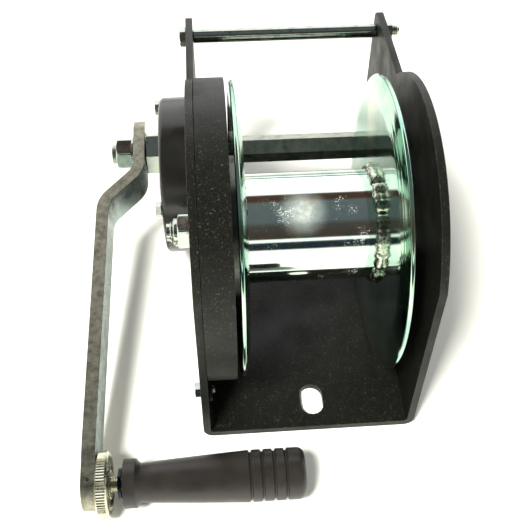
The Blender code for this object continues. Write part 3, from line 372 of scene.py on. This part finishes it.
def softened(node, mats, body, edge, segments=2, sort=None, edge_mat=-1):
    """A copy of a CAD node with its flat faces joined up and its edges rounded."""
    bm = bmesh.new()
    bm.from_mesh(frame["nodes"][node].data)
    bmesh.ops.remove_doubles(bm, verts=bm.verts, dist=2e-6)
    bmesh.ops.dissolve_limit(bm, angle_limit=math.radians(0.6), verts=bm.verts, edges=bm.edges)
    for face in bm.faces:
        face.material_index = sort(face) if sort else 0
    return piece(node + "_shown", bm, mats, body, node, edge, segments,
                 edge_mat=edge_mat)


def thread(x0, x1, radius, step, depth=0.55):
    """Ridges of a screw thread from x0 to x1 as profile points."""
    way = 1 if x1 > x0 else -1
    count = max(1, int(abs(x1 - x0) / step))
    points = []
    for i in range(count):
        x = x0 + way * step * i
        points += [(x, radius - depth * step), (x + way * step * 0.4, radius),
                   (x + way * step * 0.6, radius)]
    return points + [(x0 + way * step * count, radius - depth * step)]


def hex_profile(face, out, flats, bore, seat=0.97, dome=0.0):
    """Profile of a nut or head: washer seat at face, 30 degree chamfer towards out."""
    way = 1 if out > face else -1
    corner = flats / math.sqrt(3)
    flat = flats / 2 * seat
    chamfer = (corner - flat) * math.tan(math.radians(30))
    rings = 8
    rise = [(out - way * chamfer * (1 - i / rings), corner + (flat - corner) * i / rings)
            for i in range(rings + 1)]
    start = [(face + way * 0.25 * MM * i / 2, flats * 0.5 + (corner - flats * 0.5) * i / 2)
             for i in range(3)]
    top = [(out + way * dome, bore)] if dome or bore else []
    return [(face, bore)] + start + rise + top


def nut_piece(name, face, out, flats, bore, centre, turn, mat, body, collar=0.0):
    """Chamfered hexagon nut with a countersunk bore; a lock nut has a round collar too."""
    bm = bmesh.new()
    way = 1 if out > face else -1
    top = out - way * collar
    profile = hex_profile(face, top, flats, bore)[:-1]
    if collar:
        round_side = flats * 0.45
        profile += [(top, round_side), (out - way * 0.9 * MM, round_side * 0.97),
                    (out - way * 0.3 * MM, round_side * 0.9), (out, round_side * 0.8)]
    profile += [(out, bore + 0.5 * MM), (out - way * 0.5 * MM, bore)]
    hexed(turned(bm, profile, centre), centre, flats, turn)
    return piece(name, bm, mat, body, name.replace("_shown", ""), 0.12 * MM)


def washer_piece(name, mat, body, bore, centre):
    """Stamped washer, its rims all slightly rounded alike."""
    bm = bmesh.new()
    x0, x1 = ends(name)
    outer = radius_of(name)
    turned(bm, [(x0, bore), (x0, outer), (x1, outer), (x1, bore)], centre)
    return piece(name + "_shown", bm, mat, body, name, 0.25 * MM, 3)


def ring_piece(name, mat, body, bore, edge=0.3):
    bm = bmesh.new()
    x0, x1 = ends(name)
    outer = radius_of(name)
    turned(bm, [(x0, bore), (x0, outer), (x1, outer), (x1, bore)], middle(name))
    return piece(name + "_shown", bm, mat, body, name, edge * MM)


# ---------------------------------------------------------------- frame and covers
FRAME_BODY, DRUM_BODY = "winch_frame", "rope_drum"
CRANK_BODY, GRIP_BODY, PAWL_BODY = "crank_handle", "handle_grip", "brake_pawl"

softened("frame", [COAT, COAT_EDGE], FRAME_BODY, 0.4 * MM, edge_mat=1)
softened("gear_cover", [COAT, COAT_EDGE], FRAME_BODY, 0.35 * MM, edge_mat=1)
softened("brake_cover", MOULDING, FRAME_BODY, 0.5 * MM, 3)

# ---------------------------------------------------------------- bolts through the frame
M5, M6, M12 = 2.5 * MM, 3.0 * MM, 6.0 * MM             # radii
M5_FLATS, M6_FLATS, M12_FLATS = 8 * MM, 10 * MM, 18 * MM
M5_HEAD, M6_HEAD, M12_HEAD = 3.5 * MM, 4 * MM, 7.5 * MM
PLAY = 0.3 * MM                                        # bore past its bolt


def bolt_piece(node, head_face, head_out, tip, radius, flats, centre, turn, step, bare=0.0,
               dome=0.4 * MM):
    """Hexagon bolt: chamfered head, plain shank and a threaded end."""
    bm = bmesh.new()
    way = 1 if head_out > head_face else -1
    head = hex_profile(head_face, head_out, flats, 0.0, dome=dome)
    hexed(turned(bm, [(head_face, radius)] + head[1:], centre, closed=False), centre, flats,
          turn)
    count = max(2, int(bare / step))
    length = step * count
    shank = [(head_face, radius), (tip + way * length, radius)]
    shank += thread(tip + way * length, tip + way * 0.4 * MM, radius, step)[1:]
    shank += [(tip, radius - 0.5 * step - 0.3 * MM), (tip, 0.0)]
    turned(bm, shank, centre, 48, closed=False)
    return piece(node + "_shown", bm, HARDWARE, FRAME_BODY, node, 0.12 * MM)


for node in ("gear_cover_screw_front", "gear_cover_screw_rear", "brake_cover_screw_1",
             "brake_cover_screw_2", "brake_cover_screw_3"):
    low, high = ends(node)
    bolt_piece(node, low + M5_HEAD, low + 0.3 * MM, high, M5, M5_FLATS, middle(node), 0.0,
               0.8 * MM, 5 * MM, 0.3 * MM)

low, high = ends("tie_bolt")
bolt_piece("tie_bolt", low + M6_HEAD, low + 0.3 * MM, high, M6, M6_FLATS, TIE, 0.0, 1.0 * MM,
           12 * MM, 0.3 * MM)
low, high = ends("tie_nut")
nut_piece("tie_nut_shown", low, high, M6_FLATS, M6 + PLAY, TIE, 0.0, HARDWARE, FRAME_BODY)
ring_piece("tie_sleeve", HARDWARE, FRAME_BODY, M6 + PLAY)

low, high = ends("axle_bolt")
bolt_piece("axle_bolt", high - M12_HEAD, high - 0.4 * MM, low, M12, M12_FLATS, AXLE, 0.0,
           1.75 * MM, 30 * MM, 0.4 * MM)
low, high = ends("axle_nut")
nut_piece("axle_nut_shown", high, low, M12_FLATS, M12 + PLAY, AXLE, math.radians(12), HARDWARE,
          FRAME_BODY, collar=2.4 * MM)
for side in ("left", "right"):
    washer_piece("axle_washer_" + side, HARDWARE, FRAME_BODY, M12 + PLAY,
                 AXLE)
ring_piece("axle_sleeve", HARDWARE, FRAME_BODY, M12 + PLAY)
SLEEVE = radius_of("axle_sleeve")
for side in ("left", "right"):
    ring_piece("drum_spacer_" + side, NYLON, FRAME_BODY, SLEEVE + PLAY)

# ---------------------------------------------------------------- drum
WEB_LEFT, WEB_RIGHT = ends("drum_tube")
TUBE = radius_of("drum_tube")
TUBE_WALL = 3 * MM
FLANGE = radius_of("drum_flange_left")
FLANGE_SHEET = 2.5 * MM
FLANGE_FLAT = FLANGE - 11.5 * MM
FLANGE_FLARE = (ends("drum_flange_right")[1] - ends("drum_flange_right")[0] - FLANGE_SHEET) / 1.15
FLANGE_BORE = radius_of("drum_bush_left") - 3 * MM + 0.3 * MM

bm = bmesh.new()
turned(bm, [(WEB_LEFT, TUBE - TUBE_WALL), (WEB_LEFT, TUBE), (WEB_RIGHT, TUBE),
            (WEB_RIGHT, TUBE - TUBE_WALL)], AXLE, 128)
# paint a white glare on the tube's top front, with pale scratches all over
scratches_and_painted_glare(TUBE_ZINC, Vector(((WEB_LEFT + WEB_RIGHT) / 2 - 5 * MM, AXLE[0] - TUBE * 0.5,
                           AXLE[1] + TUBE * 0.86)), 15 * MM)
piece("drum_tube_shown", bm, TUBE_ZINC, DRUM_BODY, "drum_tube")


def flange_profile(web, out):
    """Flat web with a smoothly flared rim, two pressed lines and a rolled edge."""
    rim = FLANGE - FLANGE_FLAT
    near = [(0, FLANGE_BORE), (0, TUBE), (0, FLANGE_FLAT - 4 * MM)]
    count = 16
    for i in range(count + 1):
        part = i / count
        rise = 1.15 * part ** 1.35 * (1.0 - 0.1 * math.sin(math.pi * part))
        groove = 0.14 * MM if i in (3, 8) else 0.0
        near.append((rise * FLANGE_FLARE + groove, FLANGE_FLAT + part * (rim - 1.2 * MM)))
    edge_x, edge_r = near[-1]
    half = FLANGE_SHEET / 2
    roll = [(edge_x + half - half * math.cos(a), edge_r + half * math.sin(a))
            for a in (math.pi * k / 8 for k in range(1, 8))]
    far = [(x + FLANGE_SHEET, r) for x, r in near[::-1]]
    return [(web + out * x, r) for x, r in near + roll + far]


for side, web, out in (("left", ends("drum_flange_left")[1], -1),
                       ("right", ends("drum_flange_right")[0], 1)):
    bm = bmesh.new()
    turned(bm, flange_profile(web, out), AXLE, 160)
    piece(f"drum_flange_{side}_shown", bm, FLANGE_ZINC, DRUM_BODY, f"drum_flange_{side}",
          crease=40)


def bead(bm, heart_x, start, sweep, size):
    """A smooth run of weld metal in the corner of tube and flange."""
    circle = bmesh.ops.create_circle(bm, cap_ends=True, segments=14, radius=size)["verts"]
    place = Matrix.Translation((0, *AXLE)) @ Matrix.Rotation(start, 4, "X")
    for v in circle:
        v.co = Vector((heart_x + v.co.x, TUBE + BEAD_OUT * size + v.co.y, 0))
    bmesh.ops.transform(bm, matrix=place, verts=circle)
    faces = list({f for v in circle for f in v.link_faces})
    bmesh.ops.spin(bm, geom=faces, cent=(0, *AXLE), axis=(1, 0, 0), angle=sweep,
                   steps=max(10, int(sweep / BEAD_STEP)))


def weld_run(name, web, inward, runs):
    """Lumpy, rippled weld beads round the drum tube at one flange, tapered at their ends."""
    bm = bmesh.new()
    for start, sweep, size, seed in runs:
        bead(bm, web + inward * size * MM * BEAD_IN, math.radians(start), math.radians(sweep),
             size * MM)
    for v in bm.verts:
        angle = math.degrees(math.atan2(v.co.z - AXLE[1], v.co.y - AXLE[0])) % 360
        for start, sweep, size, seed in runs:
            along = (angle - start) % 360
            if along > sweep + 0.5 and along < 359.5:
                continue
            along = min(along, sweep) if along < 359 else 0.0
            toe = min(along, sweep - along) / max(4.0, sweep * 0.12)
            taper = min(1.0, 0.35 + 0.65 * math.sqrt(max(0.0, min(1.0, toe))))
            waves = math.radians(along) * TUBE / (BEAD_RIPPLE * MM) * math.tau / 2
            ripple = 1 + 0.06 * math.sin(waves)
            shift = Vector((seed, 0, 0))
            lump = 1 + 0.3 * noise.noise(v.co * COARSE_LUMPS + shift)
            lump += 0.25 * noise.noise(v.co * FINE_LUMPS + shift)
            turn = math.radians(angle)
            radial = Vector((0, math.cos(turn), math.sin(turn)))
            heart = Vector((web + inward * size * MM * BEAD_IN, *AXLE))
            heart += radial * (TUBE + BEAD_OUT * size * MM)
            v.co = heart + (v.co - heart) * taper * ripple * lump
            break
    piece(name, bm, WELD, DRUM_BODY, (), crease=60)


# weld beads: start and sweep in degrees, radius in millimetres, noise seed
BEAD_IN, BEAD_OUT = 0.35, 0.1          # heart's place off web and tube, in bead radii
BEAD_STEP = math.radians(2.2)
BEAD_RIPPLE = 1.3                      # millimetres
COARSE_LUMPS, FINE_LUMPS = 260, 700    # noise scales, per metre
LEFT_WELD = 0.45                       # left beads' size beside the right ones
WELDS = [(8, 50, 2.6, 1.0), (56, 38, 2.9, 4.0), (90, 36, 3.2, 9.0), (124, 66, 2.8, 14.0),
         (188, 60, 2.6, 21.0), (246, 74, 2.6, 27.0), (318, 50, 2.6, 33.0)]
weld_run("weld_right", ends("drum_flange_right")[0], -1, WELDS)
weld_run("weld_left", ends("drum_flange_left")[1], 1,
         [(start, sweep, size * LEFT_WELD, seed) for start, sweep, size, seed in WELDS])

softened("drum_gear", STEEL, DRUM_BODY, 0.25 * MM)
ring_piece("gear_spacer", STEEL, DRUM_BODY, FLANGE_BORE)
for side in ("left", "right"):
    softened("drum_bush_" + side, NYLON, DRUM_BODY, 0.3 * MM)

# ---------------------------------------------------------------- shaft, brake and pawl
softened("drive_shaft", MOTTLED, CRANK_BODY, 0.6 * MM, 3)
softened("pinion", STEEL, CRANK_BODY, 0.25 * MM)
softened("brake_pressure_plate", STEEL, CRANK_BODY, 0.3 * MM)
softened("friction_disc_inner", LINING, CRANK_BODY, 0.2 * MM)
softened("friction_disc_outer", LINING, CRANK_BODY, 0.2 * MM)
softened("ratchet_wheel", STEEL, CRANK_BODY, 0.3 * MM)
softened("brake_hub", HARDWARE, CRANK_BODY, 0.6 * MM, 3)
for side in ("left", "right"):
    softened("shaft_bush_" + side, NYLON, FRAME_BODY, 0.3 * MM)
softened("pawl", STEEL, PAWL_BODY, 0.3 * MM)
softened("pawl_pin", HARDWARE, FRAME_BODY, 0.3 * MM)
softened("pawl_spacer", HARDWARE, FRAME_BODY, 0.2 * MM)
softened("pawl_clip", CLIP, FRAME_BODY, 0.2 * MM)
softened("pawl_spring", STEEL, FRAME_BODY, 0.0)
softened("shaft_circlip", CLIP, CRANK_BODY, 0.2 * MM)

# ---------------------------------------------------------------- crank
softened("crank_arm", [BAR, BAR_EDGE], CRANK_BODY, 0.7 * MM, 3,
         sort=lambda face: int(abs(face.normal.x) < 0.15))
STUB = 6 * MM
washer_piece("crank_washer", HARDWARE, CRANK_BODY, STUB + PLAY, SHAFT)
low, high = ends("crank_nut")
nut_piece("crank_nut_shown", high, low, M12_FLATS, STUB + PLAY, SHAFT, math.radians(20),
          HARDWARE, CRANK_BODY)

# ---------------------------------------------------------------- grip spindle
low, high = ends("grip_spindle")
ROD = 4 * MM
bm = bmesh.new()
head = 6.5 * MM
nut_in = ends("knurled_nut")[1]
points = [(low, 0.0), (low + 0.1 * MM, head * 0.55), (low + 0.6 * MM, head * 0.9),
          (low + 1.1 * MM, head), (low + 1.5 * MM, head), (low + 1.5 * MM, ROD)]
points += thread(nut_in - 1 * MM, nut_in + 5 * MM, ROD, 1.0 * MM, 0.4)
points += [(nut_in + 5.2 * MM, ROD), (high - 0.6 * MM, ROD), (high, ROD - 0.6 * MM), (high, 0.0)]
turned(bm, points, SPINDLE, 64, closed=False)
piece("grip_spindle_shown", bm, KNURL_ZINC, CRANK_BODY, "grip_spindle")

# a roll pin across the bar's end holds the spindle
bm = bmesh.new()
PIN = 0.8 * MM
droop = math.atan2(SHAFT[1] - SPINDLE[1], SHAFT[0] - SPINDLE[0])
pin_profile = [(0.0, 0.45 * PIN), (0.0, PIN), (6 * MM, PIN), (6 * MM, 0.45 * PIN)]
turned(bm, pin_profile, (0, 0), 24)
edge_height = 12.5 * MM - 6 * MM + 0.15 * MM
bar_middle = (ends("crank_arm")[0] + 3.6 * MM, *SPINDLE)
stand = Matrix.Rotation(-math.pi / 2, 4, "Y")
lean = Matrix.Rotation(droop, 4, "X")
bmesh.ops.transform(bm, verts=bm.verts, matrix=Matrix.Translation(bar_middle) @ lean
                    @ Matrix.Translation((0, 0, edge_height)) @ stand)
piece("spindle_roll_pin", bm, CLIP, CRANK_BODY, ())

low, high = ends("knurled_nut")
KNURL = radius_of("knurled_nut")
KNURLS = 72
bm = bmesh.new()
rim = KNURL - 3 * MM
floor_x = high - 1.5 * MM
profile = [(low, ROD + PLAY), (low, KNURL - 1.6 * MM), (low + 0.5 * MM, KNURL - 0.9 * MM),
           (low + 0.9 * MM, KNURL), (high - 0.9 * MM, KNURL), (high - 0.4 * MM, KNURL - 0.9 * MM),
           (high, KNURL - 1.4 * MM), (high, rim + 0.3 * MM), (high - 0.3 * MM, rim),
           (floor_x, rim - 0.6 * MM), (floor_x, ROD + PLAY)]
for v in turned(bm, profile, SPINDLE, KNURLS * 4):
    y, z = v.co.y - SPINDLE[0], v.co.z - SPINDLE[1]
    reach = math.hypot(y, z)
    if reach > KNURL - 0.1 * MM:
        wave = math.cos(math.atan2(z, y) * KNURLS)
        scale = (KNURL - 0.3 * MM * (0.5 - 0.5 * wave)) / reach
        v.co.y, v.co.z = SPINDLE[0] + y * scale, SPINDLE[1] + z * scale
piece("knurled_nut_shown", bm, KNURL_ZINC, CRANK_BODY, "knurled_nut", crease=25)
washer_piece("spindle_washer", KNURL_ZINC, CRANK_BODY, ROD + PLAY, SPINDLE)
ring_piece("spindle_clip", CLIP, CRANK_BODY, ROD + PLAY)

# ---------------------------------------------------------------- grip
low, high = ends("grip")
GRIP_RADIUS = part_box("grip")[1].z - SPINDLE[1]
COLLAR, COLLAR_RADIUS, NECK = 6.3 * MM, 12.5 * MM, 9.9 * MM
GROOVES, GROOVE_PITCH, GROOVE_DEPTH = 4, 6.1 * MM, 1.2 * MM
END_CAP = 8.5 * MM
points = [(low, ROD + PLAY), (low, COLLAR_RADIUS), (low + COLLAR, COLLAR_RADIUS),
          (low + COLLAR + 1.6 * MM, NECK + 0.6 * MM), (low + COLLAR + 2.6 * MM, NECK)]
last_groove = high - 10.3 * MM
first_groove = last_groove - (GROOVES - 1) * GROOVE_PITCH
taper_end = first_groove - 1.4 * MM
taper_start = low + COLLAR + 2.6 * MM
for i in range(1, 9):
    part = i / 8
    swell = part ** 0.85
    points.append((taper_start + (taper_end - taper_start) * part,
                   NECK + (GRIP_RADIUS - NECK) * swell))
for i in range(GROOVES):
    x = first_groove + i * GROOVE_PITCH
    for off, depth in ((-1.1, 0.0), (-0.75, 0.25), (-0.5, 0.8), (-0.25, 1.0), (0.25, 1.0),
                       (0.5, 0.8), (0.75, 0.25), (1.1, 0.0)):
        points.append((x + off * MM, GRIP_RADIUS - depth * GROOVE_DEPTH))
END_RADIUS = 4.5 * MM
for k in range(9):
    angle = math.pi / 2 * (1 - k / 8)
    points.append((high - END_RADIUS + END_RADIUS * math.cos(angle),
                   GRIP_RADIUS - END_RADIUS + END_RADIUS * math.sin(angle)))
points += [(high, END_CAP), (high - 6 * MM, END_CAP), (high - 6 * MM, ROD + PLAY)]
bm = bmesh.new()
turned(bm, points, SPINDLE, 96)
piece("grip_shown", bm, GRIP, GRIP_BODY, "grip", 0.35 * MM, 3, crease=40)
low, high = ends("grip_end_cap")
bm = bmesh.new()
cap = radius_of("grip_end_cap")
turned(bm, [(low, 0.0), (low, cap), (high - 0.4 * MM, cap), (high, cap - 0.6 * MM),
            (high, cap - 2 * MM), (high - 0.5 * MM, cap - 2.6 * MM), (high - 0.5 * MM, 0.0)],
       SPINDLE, 64, closed=False)
piece("grip_end_cap_shown", bm, GRIP, GRIP_BODY, "grip_end_cap", 0.15 * MM)

# ---------------------------------------------------------------- floor, light and camera
FLOOR_SIZE = 6.0
bm = bmesh.new()
bmesh.ops.create_grid(bm, x_segments=1, y_segments=1, size=FLOOR_SIZE / 2)
mesh = bpy.data.meshes.new("floor")
bm.to_mesh(mesh)
bm.free()
floor = bpy.data.objects.new("floor", mesh)
bpy.context.scene.collection.objects.link(floor)
floor.location.z = -0.0002
# matt white card: takes soft contact shadows
mesh.materials.append(new_material("white_card", "#f4f4ee", 0.7)[0])

view = bpy.context.scene.view_settings
view.view_transform = "Standard"
view.look = "None"
# What bright metal mirrors is a room of bands round the X axis: a white wall behind, a grey
# ceiling, and a dim brown room in front with one light gap.  All else sees even white.
world = bpy.data.worlds.new("soft_room")
bpy.context.scene.world = world
world.use_nodes = True
room = world.node_tree
sky = room.nodes["Background"]
way = add(room, "SeparateXYZ", {"Vector": add(room, "TexCoord").outputs["Generated"]})
front = add(room, "Math", {0: way.outputs["Y"], 1: -1.0}, operation="MULTIPLY")
height = add(room, "Math", {0: way.outputs["Z"], 1: front.outputs["Value"]},
             operation="ARCTAN2")
turned_up = add(room, "Math", {0: height.outputs["Value"], 1: math.pi}, operation="DIVIDE")
BANDS = [(0.0, "#1a2028"), (0.072, "#21282e"), (0.084, "#f4f6f0"), (0.104, "#f4f6f0"),
         (0.118, "#372e28"), (0.26, "#3d3935"), (0.31, "#4b5155"), (0.53, "#4f5557"),
         (0.565, "#3e2b24"), (0.635, "#402e28"), (0.655, "#ffffff"), (0.93, "#ffffff"),
         (1.0, "#cfd8d2")]
bands = add(room, "ValToRGB", {"Fac": turned_up.outputs["Value"]}, BANDS)
ROOM_LIGHT, ROOM_MIRRORED = 0.62, 1.9   # the room's strength as light and in mirrors
ray = add(room, "LightPath")
seen = add(room, "Mix", {"Factor": ray.outputs["Is Glossy Ray"], "A": linear("#f8f9f5"),
                         "B": bands.outputs["Color"]}, data_type="RGBA")
power = add(room, "MapRange", {"Value": ray.outputs["Is Glossy Ray"], "To Min": ROOM_LIGHT,
                               "To Max": ROOM_MIRRORED})
white = add(room, "Math", {0: ray.outputs["Is Camera Ray"], 1: power.outputs["Result"]},
            operation="ADD")
room.links.new(seen.outputs["Result"], sky.inputs["Color"])
room.links.new(white.outputs["Value"], sky.inputs["Strength"])


LAMP_PLACE = Vector((-0.57, -0.84, 1.45))
LAMP_AIM = Vector((0, 0, 0.05))
light = bpy.data.lights.new("window_light", "AREA")
light.size = 0.34
light.energy = 62
light.color = linear("#fffef8")[:3]
lamp = bpy.data.objects.new("window_light", light)
lamp.location = LAMP_PLACE
lamp.rotation_euler = (LAMP_AIM - LAMP_PLACE).to_track_quat("-Z", "Y").to_euler()
lamp.visible_glossy = False            # metal mirrors only the room
bpy.context.scene.collection.objects.link(lamp)

forward = Vector((math.sin(CAMERA_HEADING) * math.cos(CAMERA_DOWN),
                  math.cos(CAMERA_HEADING) * math.cos(CAMERA_DOWN), -math.sin(CAMERA_DOWN)))
level = Vector((math.cos(CAMERA_HEADING), -math.sin(CAMERA_HEADING), 0))
upright = level.cross(forward)
right = math.cos(CAMERA_ROLL) * level + math.sin(CAMERA_ROLL) * upright
up = -math.sin(CAMERA_ROLL) * level + math.cos(CAMERA_ROLL) * upright
lens = bpy.data.cameras.new("camera")
lens.lens = LENS
lens.sensor_width = SENSOR
camera = bpy.data.objects.new("camera", lens)
turn = Matrix((right, up, -forward)).transposed().to_4x4()
camera.matrix_world = Matrix.Translation(CAMERA_PLACE) @ turn
bpy.context.scene.collection.objects.link(camera)
bpy.context.scene.camera = camera
